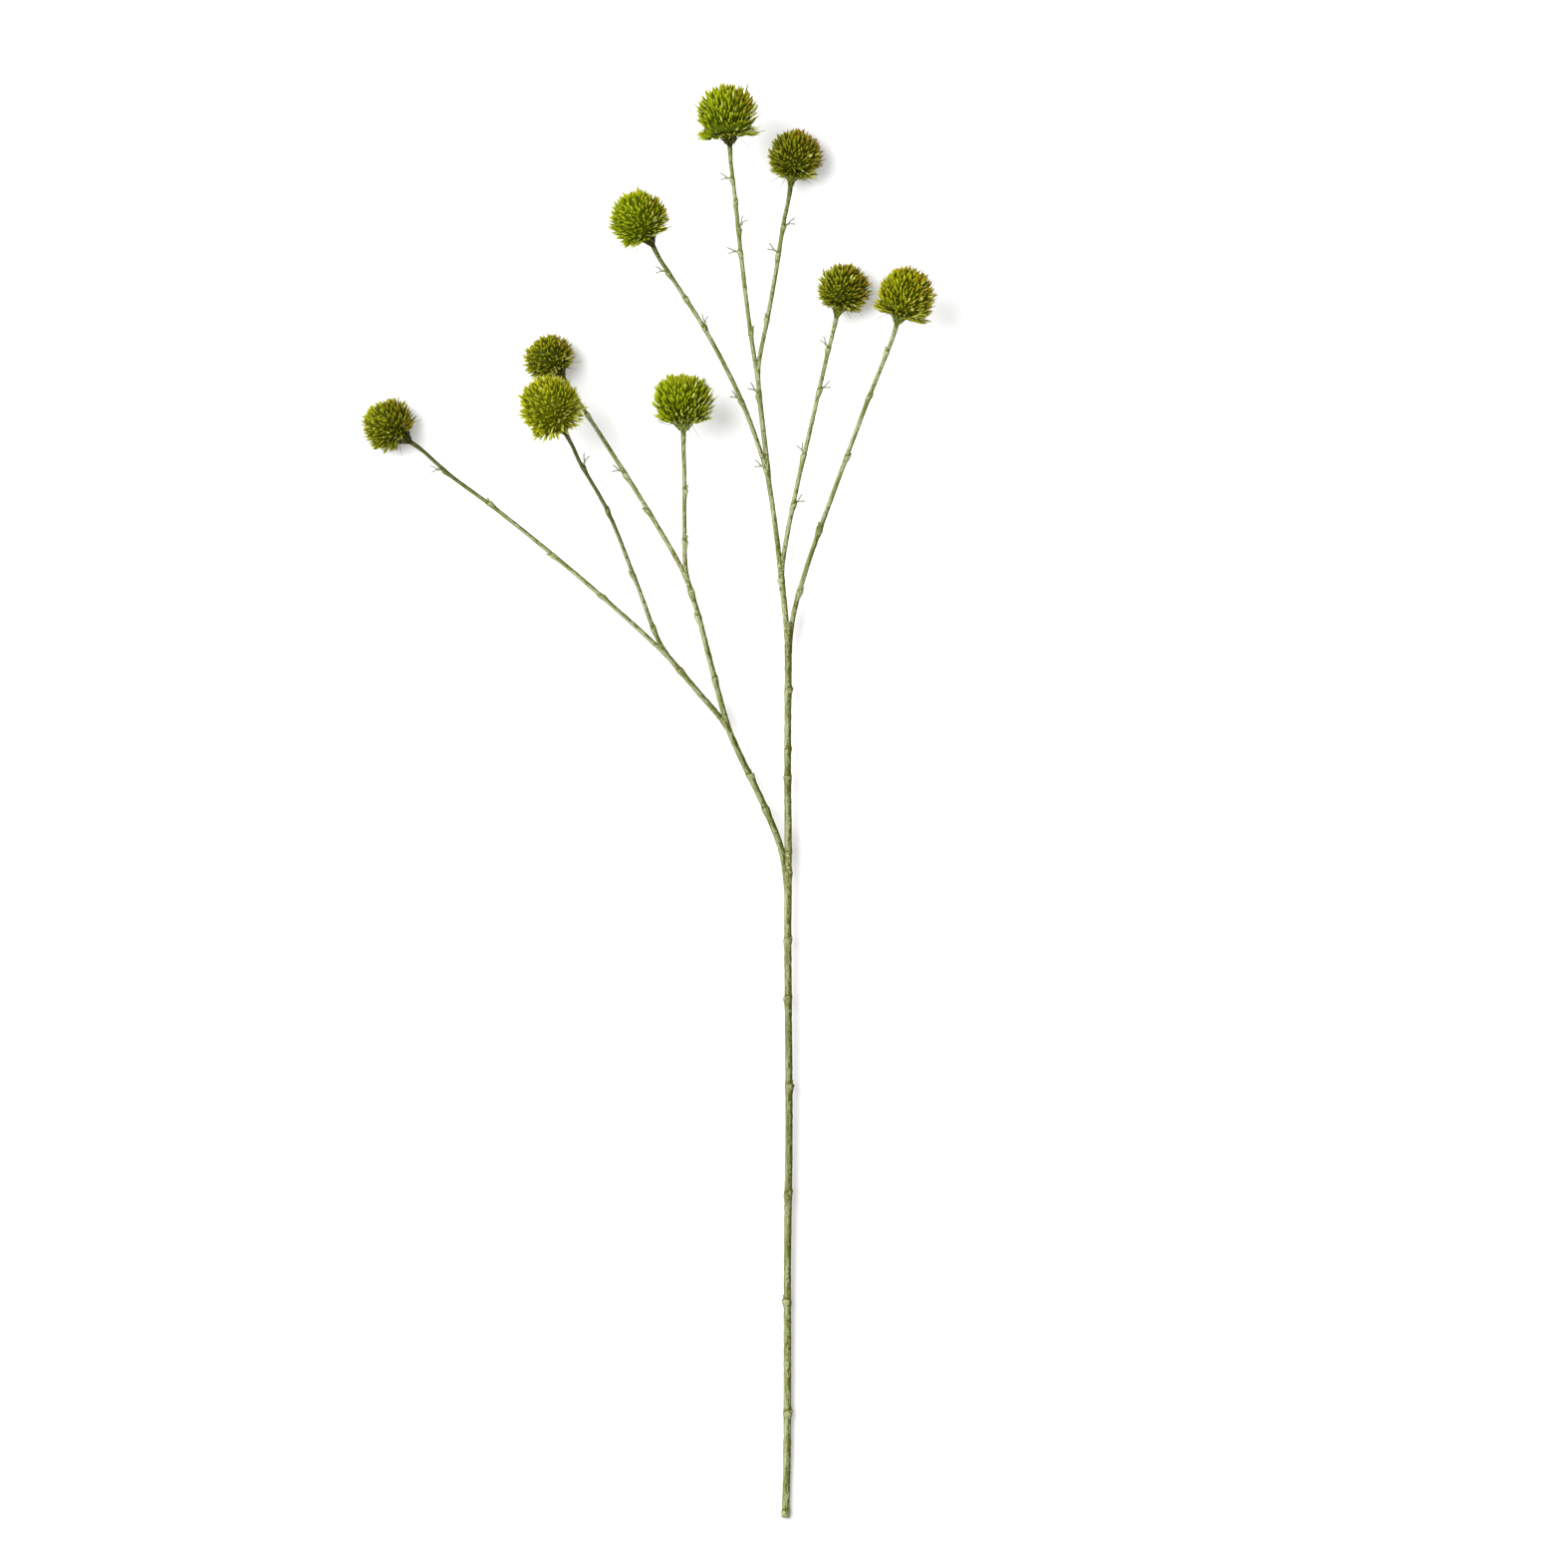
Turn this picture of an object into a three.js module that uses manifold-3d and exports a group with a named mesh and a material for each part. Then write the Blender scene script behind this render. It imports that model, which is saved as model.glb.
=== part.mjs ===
// Globe thistle: a cut branching stem with nine flower balls, lying on a table.
// Millimetres. X runs across the spray, Y from the cut end towards the balls, Z up from the table.
import * as THREE from 'three';
import { mergeVertices } from 'three/addons/utils/BufferGeometryUtils.js';
import Module from 'manifold-3d';

// Flower balls. Shares are of the ball's radius, angles are in degrees from its top.
const BALL_TRIANGULATION = 3;
const CORE_SHARE = 0.62;
const CORE_DROP = 0.12;
const CORE_UNEVEN = 0.18;
const FLORET_UNEVEN = 0.055;
const FLORET_LEAN = 0.3;
const FLORETS_STOP = 165;
const EVEN_FROM = 155;
const WAIST = { at: 110, width: 7, depth: 0.09 };
const SKIRT = { at: 124, width: 9, rise: 0.09 };
const LOWEST_ROWS = { from: 146, to: 160, depth: 0.14 };
const FIRST_SEED = 101;

// Florets under a ball that rests on the table reach into it, from and fully at these cosines of
// their angle from straight down, and are cut off level with it
const PRESSED = { from: 0.75, full: 0.95, share: 0.22 };

// Calyx, the dark funnel that carries a ball
const CALYX_LENGTH = 9;
const CALYX_RIM_SHARE = 0.152;
const CALYX_FOOT = 1.12;
const CALYX_THROAT = { width: 1.2, depth: 0.7 };
const CALYX_FLARE = { width: 0.72, depth: 0.3 };
const CALYX_SIDES = 8;

// Stem
const ROOT_DEPTH = 6;
const NECK_LENGTH = 8;
const STEM_SIDES = 6;
const STATION_STEP = 34;
const ARC_DIVISIONS = 600;
const NODE_SWELL = 1.32;
const NODE_RISE = 7;
const NODE_SHOULDER = { before: 1.4, share: 0.93 };
const NODE_FALL = 2.6;
const THORN_SIDES = 4;
const BUD_LENGTH = 4.6;
const BUD_RADIUS = 1.25;
const BUD_LEAN = 38;
const PRONG_LENGTH = 9.5;
const PRONG_RADIUS = 0.75;
const PRONG_SPREAD = 16;

// Between two pieces that meet
const SEAM = 0.3;
const SAME_POINT = 1e-4;

const TABLE_WIDTH = 3000;
const TABLE_THICKNESS = 100;

// Colours and roughness
const SAGE = 0x969e70;
const DARK_OLIVE = 0x474b22;
const BRIGHT_GREEN = 0x6c750e;
const DARK_GREEN = 0x575a0e;
const GOLD_GREEN = 0x6f7110;
const STEM_ROUGHNESS = 0.6;
const FLORET_ROUGHNESS = 0.62;

const GOLDEN_RATIO = (1 + Math.sqrt(5)) / 2;
const UP = new THREE.Vector3(0, 0, 1);
const LEFT = -1;
const RIGHT = 1;

const wasm = await Module();
wasm.setup();

// What stands on a shoot, at a distance in mm from the fork that the shoot grows from, or at its end
const END = Infinity;
const ring = (at) => ({ at });
const bud = (at, side) => ({ at, side, angles: [BUD_LEAN], length: BUD_LENGTH, radius: BUD_RADIUS });
const prong = (at, side, angle) => ({
  at,
  side,
  angles: [angle - PRONG_SPREAD, angle + PRONG_SPREAD],
  length: PRONG_LENGTH,
  radius: PRONG_RADIUS,
});

// Each ball: its centre, its radius out to the floret tips, and the way its stalk points into it.
// The balls whose centre is lower than their radius rest on the table.
const FLOWERS = {
  top: { centre: [-43.8, 1051.5, 62], radius: 22.5, axis: [-0.05, 1, 0.12], colour: BRIGHT_GREEN },
  top_right: { centre: [6, 1023, 17.5], radius: 20.25, axis: [0.15, 1, -0.05], colour: DARK_GREEN },
  upper_left: { centre: [-110.4, 973, 72], radius: 21.75, axis: [-0.46, 0.89, 0.18], colour: BRIGHT_GREEN },
  right_inner: { centre: [42, 923.7, 17], radius: 19.5, axis: [0.23, 1, 0], colour: DARK_GREEN },
  right_outer: { centre: [88.4, 917, 53], radius: 21.75, axis: [0.25, 1, 0.12], colour: GOLD_GREEN },
  left_back: { centre: [-178.8, 873.6, 16.5], radius: 18.75, axis: [-0.54, 0.84, -0.03], colour: DARK_GREEN },
  left_front: { centre: [-176, 832.7, 60], radius: 23.25, axis: [-0.42, 0.75, 0.42], colour: BRIGHT_GREEN },
  middle: { centre: [-77.4, 838.5, 46], radius: 22.5, axis: [0, 1, 0.2], colour: BRIGHT_GREEN },
  far_left: { centre: [-300, 821.2, 17], radius: 19.5, axis: [-0.81, 0.58, 0], colour: DARK_GREEN },
};

// Each shoot: the points of its middle line from its fork on, its radius at both ends, and what
// stands on it. A shoot that bears a flower runs on into that flower's calyx.
const SHOOTS = [
  {
    points: [[-1.1, 0, 3], [0, 48, 4.1], [0.4, 205, 7], [1.5, 295, 8.4], [0.4, 437, 10.6], [-0.6, 500, 11.6],
      [0.4, 578, 12.7], [1.1, 668, 14]],
    radii: [2.85, 2.35],
    grown: [ring(5), bud(80, RIGHT), bud(164, LEFT), ring(245), bud(322, RIGHT), bud(392, LEFT), ring(436),
      ring(486), ring(501), ring(558), ring(578), bud(623, RIGHT), ring(655), ring(END)],
  },
  {
    points: [[-0.6, 500, 11.6], [-15.5, 532.5, 11.9], [-33.3, 569.2, 12.3], [-47.2, 600, 13]],
    from: [0, 1, 0],
    radii: [2.3, 2.15],
    grown: [ring(36), bud(64, RIGHT), ring(END)],
  },
  {
    points: [[-47.2, 600, 13], [-56.9, 641, 14.5], [-66.2, 677, 16], [-77, 712, 18]],
    from: [-0.4, 0.9, 0],
    radii: [2.05, 1.85],
    grown: [ring(32), bud(80, LEFT), ring(100), ring(END)],
  },
  {
    points: [[-77, 712, 18], [-76.9, 748.4, 26], [-76.8, 781, 34]],
    from: [-0.3, 0.95, 0],
    radii: [1.6, 1.45],
    flower: 'middle',
    grown: [bud(23, RIGHT), bud(62, RIGHT)],
  },
  {
    points: [[-77, 712, 18], [-99.1, 748.6, 19], [-132.7, 802.5, 19], [-151.1, 830.9, 18]],
    from: [-0.3, 0.95, 0],
    radii: [1.65, 1.4],
    flower: 'left_back',
    grown: [bud(53, LEFT), prong(86, LEFT, 35), ring(138)],
  },
  {
    points: [[-47.2, 600, 13], [-68.5, 623, 13.5], [-95, 654.5, 15]],
    from: [-0.4, 0.9, 0],
    radii: [1.95, 1.85],
    grown: [ring(50), ring(END)],
  },
  {
    points: [[-95, 654.5, 15], [-151.8, 703.8, 19], [-217.5, 757.6, 20], [-253.8, 784.5, 19]],
    from: [-0.65, 0.75, 0],
    radii: [1.7, 1.4],
    flower: 'far_left',
    grown: [ring(59), bud(107, LEFT), bud(168, RIGHT), prong(211, LEFT, 40)],
  },
  {
    points: [[-95, 654.5, 15], [-113.2, 703.6, 24], [-134.6, 757, 37], [-154.8, 792.4, 47]],
    from: [-0.65, 0.75, 0],
    radii: [1.65, 1.35],
    flower: 'left_front',
    grown: [ring(16), bud(59, LEFT), ring(112), prong(150, RIGHT, 50)],
  },
  {
    points: [[1.1, 668, 14], [14.2, 712.7, 22], [33.2, 766.1, 33], [60.3, 837.1, 44]],
    from: [0, 1, 0],
    radii: [1.8, 1.45],
    flower: 'right_outer',
    grown: [bud(30, RIGHT), ring(79), bud(138, RIGHT), ring(187), bud(222, LEFT)],
  },
  {
    points: [[1.1, 668, 14], [-3.8, 704, 15.2], [-4.5, 717.3, 16]],
    from: [0, 1, 0],
    radii: [2.15, 2],
    grown: [bud(38, LEFT), ring(END)],
  },
  {
    points: [[-4.5, 717.3, 16], [5.6, 766.6, 18], [17.9, 820.4, 19], [30.3, 874.3, 18]],
    from: [0, 1, 0],
    radii: [1.65, 1.4],
    flower: 'right_inner',
    grown: [prong(45, RIGHT, 43), prong(83, LEFT, 35), prong(133, RIGHT, 45), prong(165, LEFT, 44)],
  },
  {
    points: [[-4.5, 717.3, 16], [-10.5, 757.6, 19], [-15.3, 789, 22]],
    from: [0, 1, 0],
    radii: [1.85, 1.75],
    grown: [prong(END, LEFT, 60)],
  },
  {
    points: [[-15.3, 789, 22], [-33.6, 837.6, 35], [-60.6, 890.3, 51]],
    from: [-0.15, 0.98, 0.1],
    radii: [1.6, 1.4],
    flower: 'upper_left',
    grown: [prong(55, LEFT, 33), prong(118, RIGHT, 37), ring(144), prong(168, LEFT, 47)],
  },
  {
    points: [[-15.3, 789, 22], [-20.2, 838, 25.5], [-22.4, 863.3, 28]],
    from: [-0.15, 0.98, 0.1],
    radii: [1.75, 1.65],
    grown: [prong(56, LEFT, 45), ring(END)],
  },
  {
    points: [[-22.4, 863.3, 28], [-28.7, 900.1, 36], [-35, 953, 48], [-38.7, 988.3, 54]],
    from: [-0.1, 0.98, 0.1],
    radii: [1.5, 1.4],
    flower: 'top',
    grown: [bud(29, RIGHT), prong(89, LEFT, 75), prong(107, RIGHT, 39), ring(127), prong(144, LEFT, 70)],
  },
  {
    points: [[-22.4, 863.3, 28], [-14.6, 900.7, 27], [-8.2, 936.6, 25], [-2.6, 972.7, 21.5]],
    from: [-0.1, 0.98, 0.1],
    radii: [1.5, 1.4],
    flower: 'top_right',
    grown: [bud(38, LEFT), prong(88, LEFT, 63), prong(109, RIGHT, 55)],
  },
];

// A number drawn from 0 to 1, the same run after run
function seededRandom(seed) {
  let state = seed;
  return () => {
    state = (state * 1664525 + 1013904223) % 4294967296;
    return state / 4294967296;
  };
}

// Solids and meshes
function toSolid(geometry) {
  const bare = geometry.clone();
  bare.deleteAttribute('normal');
  bare.deleteAttribute('uv');
  const merged = mergeVertices(bare, SAME_POINT);
  return new wasm.Manifold(new wasm.Mesh({
    numProp: 3,
    vertProperties: merged.attributes.position.array,
    triVerts: new Uint32Array(merged.index.array),
  }));
}

function toGeometry(solid) {
  const mesh = solid.getMesh();
  const geometry = new THREE.BufferGeometry();
  geometry.setAttribute('position', new THREE.BufferAttribute(mesh.vertProperties, 3));
  geometry.setIndex(new THREE.BufferAttribute(mesh.triVerts, 1));
  return geometry;
}

function toMesh(name, geometry, colour, roughness) {
  const flat = geometry.index ? geometry.toNonIndexed() : geometry;
  flat.computeVertexNormals();
  const material = new THREE.MeshStandardMaterial({ color: colour, roughness, metalness: 0 });
  const mesh = new THREE.Mesh(flat, material);
  mesh.name = name;
  return mesh;
}

// Everything under the table top, which flattens what rests on it
function tableBlock(matrix) {
  const block = new THREE.BoxGeometry(TABLE_WIDTH, TABLE_WIDTH, TABLE_THICKNESS);
  return toSolid(block.translate(0, 0, -TABLE_THICKNESS / 2).applyMatrix4(matrix));
}

function polar(vector) {
  return THREE.MathUtils.radToDeg(vector.angleTo(UP));
}

// How far florets reach at an angle from the ball's top: full all over, with a waist above the row
// that spreads out like a skirt, and shorter again in the lowest rows, next to the calyx.
function reachAt(angle) {
  const bell = ({ at, width }) => Math.exp(-(((angle - at) / width) ** 2));
  const lowest = THREE.MathUtils.smoothstep(angle, LOWEST_ROWS.from, LOWEST_ROWS.to);
  return 1 - WAIST.depth * bell(WAIST) + SKIRT.rise * bell(SKIRT) - LOWEST_ROWS.depth * lowest;
}

// A ball in its own frame: its middle at 0, its top along Z. A core is cut into small triangles,
// and on each stands one three-sided floret, save on the five triangles that the calyx covers. All
// of it is seen whole from the core's middle, so no floret crosses another.
function ballGeometry(radius, down, rests, seed) {
  const random = seededRandom(seed);
  const heart = new THREE.Vector3(0, 0, -CORE_DROP * radius);
  const corner = new THREE.Vector3(-1, GOLDEN_RATIO, 0).normalize();
  const sphere = new THREE.IcosahedronGeometry(1, BALL_TRIANGULATION);
  sphere.applyQuaternion(new THREE.Quaternion().setFromUnitVectors(corner, UP.clone().negate()));
  sphere.deleteAttribute('normal');
  sphere.deleteAttribute('uv');
  const net = mergeVertices(sphere, SAME_POINT);
  const corners = net.attributes.position.count;
  const spacing = Math.sqrt(4 * Math.PI / corners);

  // The way from the core's middle to a point of the ball
  const spots = [];
  for (let i = 0; i < corners; i++) {
    const spot = new THREE.Vector3().fromBufferAttribute(net.attributes.position, i);
    const shift = new THREE.Vector3(random() - 0.5, random() - 0.5, random() - 0.5);
    const looseness = polar(spot) < EVEN_FROM ? 2 * CORE_UNEVEN * spacing : 0;
    spot.addScaledVector(shift, looseness).setLength(radius);
    spots.push(spot.sub(heart));
  }

  const coreRadius = CORE_SHARE * radius;
  const onCore = (way) => way.clone().setLength(coreRadius).add(heart);
  const positions = [];
  for (let i = 0; i < net.index.count; i += 3) {
    const ways = [0, 1, 2].map((k) => spots[net.index.getX(i + k)]);
    const feet = ways.map(onCore);
    const shares = ways.map(() => 1 + FLORET_LEAN * (2 * random() - 1));
    const whole = shares[0] + shares[1] + shares[2];
    const tip = new THREE.Vector3();
    ways.forEach((way, k) => tip.addScaledVector(way, shares[k] / whole));
    const uneven = 1 + FLORET_UNEVEN * (2 * random() - 1);
    if (Math.max(...ways.map(polar)) > FLORETS_STOP) {
      feet.forEach((foot) => positions.push(...foot));
      continue;
    }
    const cosine = tip.clone().normalize().dot(down);
    const facesTable = THREE.MathUtils.smoothstep(cosine, PRESSED.from, PRESSED.full);
    const press = rests ? 1 + PRESSED.share * facesTable : 1;
    tip.add(heart).setLength(radius).sub(heart);
    tip.multiplyScalar(reachAt(polar(tip)) * uneven * press).add(heart);
    for (let k = 0; k < 3; k++) {
      positions.push(...feet[k], ...feet[(k + 1) % 3], ...tip);
    }
  }
  const geometry = new THREE.BufferGeometry();
  geometry.setAttribute('position', new THREE.Float32BufferAttribute(positions, 3));
  return geometry;
}

// The calyx in the ball's frame: a funnel from the stalk's end up to the core, which lies in its dish
function calyxGeometry(radius, stalkRadius) {
  const top = coreBottom(radius) - SEAM;
  const rim = CALYX_RIM_SHARE * radius;
  const dishRadius = CORE_SHARE * radius + SEAM;
  const dishRise = dishRadius - Math.sqrt(dishRadius ** 2 - rim ** 2);
  const profile = [
    [0, top - CALYX_LENGTH],
    [CALYX_FOOT * stalkRadius, top - CALYX_LENGTH],
    [CALYX_THROAT.width * stalkRadius, top - CALYX_THROAT.depth * CALYX_LENGTH],
    [CALYX_FLARE.width * rim, top - CALYX_FLARE.depth * CALYX_LENGTH],
    [rim, top + dishRise],
    [0, top],
  ];
  const outline = profile.map(([across, along]) => new THREE.Vector2(across, along));
  const funnel = new THREE.LatheGeometry(outline, CALYX_SIDES);
  return funnel.rotateX(Math.PI / 2);
}

function coreBottom(radius) {
  return -(CORE_DROP + CORE_SHARE) * radius;
}

// The last straight stretch of a stalk, which ends just short of the calyx
function neckOf({ centre, radius, axis }) {
  const end = coreBottom(radius) - SEAM - CALYX_LENGTH - SEAM;
  const way = new THREE.Vector3(...axis).normalize();
  return [end - NECK_LENGTH, end].map((reach) => new THREE.Vector3(...centre).addScaledVector(way, reach));
}

// A closed tube along a curve, with its radius given at each station
function tubeGeometry(curve, stations, sides) {
  const length = curve.getLength();
  const positions = [];
  stations.forEach(({ at, radius }) => {
    const centre = curve.getPointAt(at / length);
    const along = curve.getTangentAt(at / length);
    const across = new THREE.Vector3().crossVectors(along, UP).normalize();
    const lift = new THREE.Vector3().crossVectors(across, along);
    for (let i = 0; i < sides; i++) {
      const turn = 2 * Math.PI * i / sides;
      const point = centre.clone().addScaledVector(across, radius * Math.cos(turn));
      positions.push(...point.addScaledVector(lift, radius * Math.sin(turn)));
    }
  });
  const index = [];
  const last = (stations.length - 1) * sides;
  for (let i = 0; i < sides; i++) {
    const next = (i + 1) % sides;
    for (let row = 0; row < last; row += sides) {
      index.push(row + i, row + sides + next, row + next);
      index.push(row + i, row + sides + i, row + sides + next);
    }
    if (i > 0 && i < sides - 1) {
      index.push(0, i, next);
      index.push(last, last + next, last + i);
    }
  }
  const geometry = new THREE.BufferGeometry();
  geometry.setAttribute('position', new THREE.Float32BufferAttribute(positions, 3));
  geometry.setIndex(index);
  return geometry;
}

// A bud or a tine: a thorn from the middle of the shoot
function thornGeometry(root, way, length, radius) {
  const thorn = new THREE.ConeGeometry(radius, length, THORN_SIDES, 1).translate(0, length / 2, 0);
  const turn = new THREE.Quaternion().setFromUnitVectors(new THREE.Vector3(0, 1, 0), way);
  return thorn.applyQuaternion(turn).translate(...root);
}

// A shoot with its swollen nodes, and the solids of what stands on them
function shootSolids(shoot) {
  const points = shoot.points.map((point) => new THREE.Vector3(...point));
  const depth = shoot.from ? ROOT_DEPTH : 0;
  if (shoot.from) {
    const way = new THREE.Vector3(...shoot.from).normalize();
    points.unshift(points[0].clone().addScaledVector(way, -depth));
  }
  if (shoot.flower) {
    points.push(...neckOf(FLOWERS[shoot.flower]));
  }
  const curve = new THREE.CatmullRomCurve3(points, false, 'centripetal');
  curve.arcLengthDivisions = ARC_DIVISIONS;
  const length = curve.getLength();
  const plain = (at) => THREE.MathUtils.lerp(...shoot.radii, at / length);

  const stations = [];
  const addStation = (at, swell) => stations.push({ at, radius: swell * plain(at) });
  const run = (from, to) => {
    const pieces = Math.max(1, Math.round((to - from) / STATION_STEP));
    for (let i = 0; i < pieces; i++) {
      addStation(from + (to - from) * i / pieces, 1);
    }
  };
  const nodes = shoot.grown.map((node) => ({ ...node, at: Math.min(node.at + depth, length) }));
  let free = depth;
  if (depth > 0) {
    addStation(0, 1);
  }
  nodes.forEach(({ at }) => {
    const start = Math.max(at - NODE_RISE, free);
    if (start > free) {
      run(free, start);
    }
    addStation(start, 1);
    addStation(at - NODE_SHOULDER.before, NODE_SWELL * NODE_SHOULDER.share);
    addStation(at, NODE_SWELL);
    free = Math.min(at + NODE_FALL, length);
  });
  if (free < length) {
    run(free, length);
    addStation(length, 1);
  }

  const solids = [toSolid(tubeGeometry(curve, stations, STEM_SIDES))];
  nodes.filter(({ side }) => side).forEach(({ at, side, angles, length: reach, radius }) => {
    const root = curve.getPointAt(at / length);
    const along = curve.getTangentAt(at / length);
    const across = new THREE.Vector3().crossVectors(along, UP).setLength(side);
    angles.forEach((angle) => {
      const lean = THREE.MathUtils.degToRad(angle);
      const way = along.clone().multiplyScalar(Math.cos(lean)).addScaledVector(across, Math.sin(lean));
      solids.push(toSolid(thornGeometry(root, way, reach, radius)));
    });
  });
  return solids;
}

// The stem is joined to one solid, and its lowest ring is flat where it lies on the table.
function stemGeometry() {
  const pieces = SHOOTS.flatMap(shootSolids);
  const joined = pieces.reduce((whole, piece) => whole.add(piece));
  return toGeometry(joined.subtract(tableBlock(new THREE.Matrix4())));
}

// A ball on its calyx, turned the way its stalk points
function flower(name, { centre, radius, axis, colour }, seed) {
  const group = new THREE.Group();
  group.position.set(...centre);
  group.quaternion.setFromUnitVectors(UP, new THREE.Vector3(...axis).normalize());
  group.updateMatrix();
  const toOwnFrame = group.matrix.clone().invert();
  const down = new THREE.Vector3(0, 0, -1).transformDirection(toOwnFrame);
  const rests = centre[2] < radius;

  let ball = ballGeometry(radius, down, rests, seed);
  if (rests) {
    ball = toGeometry(toSolid(ball).subtract(tableBlock(toOwnFrame)));
  }
  group.add(toMesh('head_' + name, ball, colour, FLORET_ROUGHNESS));
  const stalk = SHOOTS.find((shoot) => shoot.flower === name);
  const calyx = calyxGeometry(radius, stalk.radii[1]);
  group.add(toMesh('calyx_' + name, calyx, DARK_OLIVE, STEM_ROUGHNESS));
  return group;
}

const thistle = new THREE.Group();
thistle.add(toMesh('stem', stemGeometry(), SAGE, STEM_ROUGHNESS));
Object.entries(FLOWERS).forEach(([name, values], i) => {
  thistle.add(flower(name, values, FIRST_SEED + i));
});

// The origin is on the table, under the middle of the whole spray.
const box = new THREE.Box3().setFromObject(thistle, true);
const middle = box.getCenter(new THREE.Vector3());
thistle.position.set(-middle.x, -middle.y, -box.min.z);

export default thistle;
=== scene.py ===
"""A cut globe thistle lying on a table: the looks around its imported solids."""

import math
import random
from bisect import bisect

import bmesh
import bpy
from mathutils import Matrix, Vector, noise
from mathutils.geometry import interpolate_bezier


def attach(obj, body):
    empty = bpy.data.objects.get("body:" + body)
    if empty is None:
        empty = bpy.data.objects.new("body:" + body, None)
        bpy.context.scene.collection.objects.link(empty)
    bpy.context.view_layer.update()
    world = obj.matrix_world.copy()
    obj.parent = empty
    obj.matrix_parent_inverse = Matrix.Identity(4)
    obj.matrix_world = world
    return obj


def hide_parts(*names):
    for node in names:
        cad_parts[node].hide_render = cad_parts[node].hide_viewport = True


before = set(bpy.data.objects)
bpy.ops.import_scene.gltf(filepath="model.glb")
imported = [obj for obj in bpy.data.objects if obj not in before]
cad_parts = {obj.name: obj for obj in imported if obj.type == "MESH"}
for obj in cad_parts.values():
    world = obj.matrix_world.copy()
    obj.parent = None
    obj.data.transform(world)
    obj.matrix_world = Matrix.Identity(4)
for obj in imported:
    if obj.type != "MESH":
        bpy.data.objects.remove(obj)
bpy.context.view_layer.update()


# The stem is one plant, cut off at its foot and forking eight times on the way up. Its waxy skin is
# sage green over olive, and steps out to a ring at each node, where a bud or a forked stipule
# stands. Lengths are in millimetres from the cut end, as for all that grows on the stem.
CUT_END = Vector((104.985, -537.093, 0))
TO_FRAME = Matrix.Scale(0.001, 4) @ Matrix.Translation(CUT_END)
UP = Vector((0, 0, 1))
LEFT = -1
RIGHT = 1
END = math.inf

# A shoot: its skin over the solid, how thin it is inside the shoot that bears it, and how it widens
# where a calyx sits on it
SKIN = 0.2
STEM_SIDES = 12
STATION_STEP = 1.7
ROOT_THINNING = 0.35
ROOT_ASIDE = 0.7
NECK_LENGTH = 8
NECK_SUNK = 1
NECK_FLARE = {"length": 12, "share": 0.2}

# From a ball's middle down its axis: its foot as a share of its radius, a seam, and the calyx
BALL_FOOT = 0.74
SEAM = 0.3
CALYX_LENGTH = 9

# The skin's soft knobs and the fine lines along it, and how far it stays over the table
KNOBS = {"depth": 0.1, "around": 1, "along": 0.22}
LINES = {"depth": 0.05, "around": 2.6, "along": 0.05}
OVER_TABLE = 0.02

# A node: how far it swells, more on the side of its bud, over which lengths, and how it is tilted
NODE_SWELL = 0.7
NODE_LEAN = 0.6
NODE_TILT = 1.5
NODE_RISE = 9
NODE_CURVE = 1.6
NODE_LIP = 1.1
NODE_LIP_SHARE = 0.75
NODE_FALL = 3.2
NODE_STATIONS = (-0.6, 0, 0.5, 1.1)
# Where the painted shade in the crease past a node's lip starts
CREASE_START = (0.2, 0.8)
# How near a fork its pale scars and its dark specks, which are partly painted shade, gather
FORK_SCARS_AND_SHADE = (30, 8)

# A bud is one piece, and a stipule is a short stalk with two thin tines. For each: how far out it
# starts, its turn in degrees, its size, and how thick it is from foot to tip as shares of its radius
GROWTHS = {
    "bud": [
        {"foot": 0, "turn": 38, "length": 5.2, "radius": 1.45, "flatness": 0.8, "pale": 0,
         "shares": (0.75, 1, 0.95, 0.62, 0.1)},
    ],
    "stipule": [
        {"foot": 0, "turn": 0, "length": 4.6, "radius": 0.9, "flatness": 0.8, "pale": 0.4,
         "shares": (1.4, 1.1, 1)},
        {"foot": 4.3, "turn": -24, "length": 6.6, "radius": 0.72, "flatness": 0.7, "pale": 1,
         "shares": (1, 0.95, 0.85, 0.9, 0.4)},
        {"foot": 4.3, "turn": 26, "length": 5.2, "radius": 0.7, "flatness": 0.7, "pale": 1,
         "shares": (1, 0.9, 0.8, 0.9, 0.4)},
    ],
}
GROWTH_SIDES = 6
GROWTH_SPREAD = 6
GROWTH_RISE = (-0.15, 0.3)
TIP_RISE = (-0.3, 0.5)
TINE_BEND = 0.1
BUD_BEND = -0.04
BUD_CREST = 0.7


def ring(at, size=1):
    return {"at": at, "kind": "ring", "side": 0, "size": size}


def bud(at, side):
    return {"at": at, "kind": "bud", "side": side, "size": 1}


def stipule(at, side, angle):
    return {"at": at, "kind": "stipule", "side": side, "size": 1, "angle": angle}


FLOWERS = {
    "top": {"centre": (-43.8, 1051.5, 62), "radius": 22.5, "axis": (-0.05, 1, 0.12)},
    "top_right": {"centre": (6, 1023, 17.5), "radius": 20.25, "axis": (0.15, 1, -0.05)},
    "upper_left": {"centre": (-110.4, 973, 72), "radius": 21.75, "axis": (-0.46, 0.89, 0.18)},
    "right_inner": {"centre": (42, 923.7, 17), "radius": 19.5, "axis": (0.23, 1, 0)},
    "right_outer": {"centre": (88.4, 917, 53), "radius": 21.75, "axis": (0.3, 1, 0.12)},
    "left_back": {"centre": (-178.8, 873.6, 16.5), "radius": 18.75, "axis": (-0.54, 0.84, -0.03)},
    "left_front": {"centre": (-176, 832.7, 60), "radius": 23.25, "axis": (-0.42, 0.75, 0.42)},
    "middle": {"centre": (-77.4, 838.5, 46), "radius": 22.5, "axis": (0, 1, 0.2)},
    "far_left": {"centre": (-300, 821.2, 17), "radius": 19.5, "axis": (-0.81, 0.58, 0)},
}

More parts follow.
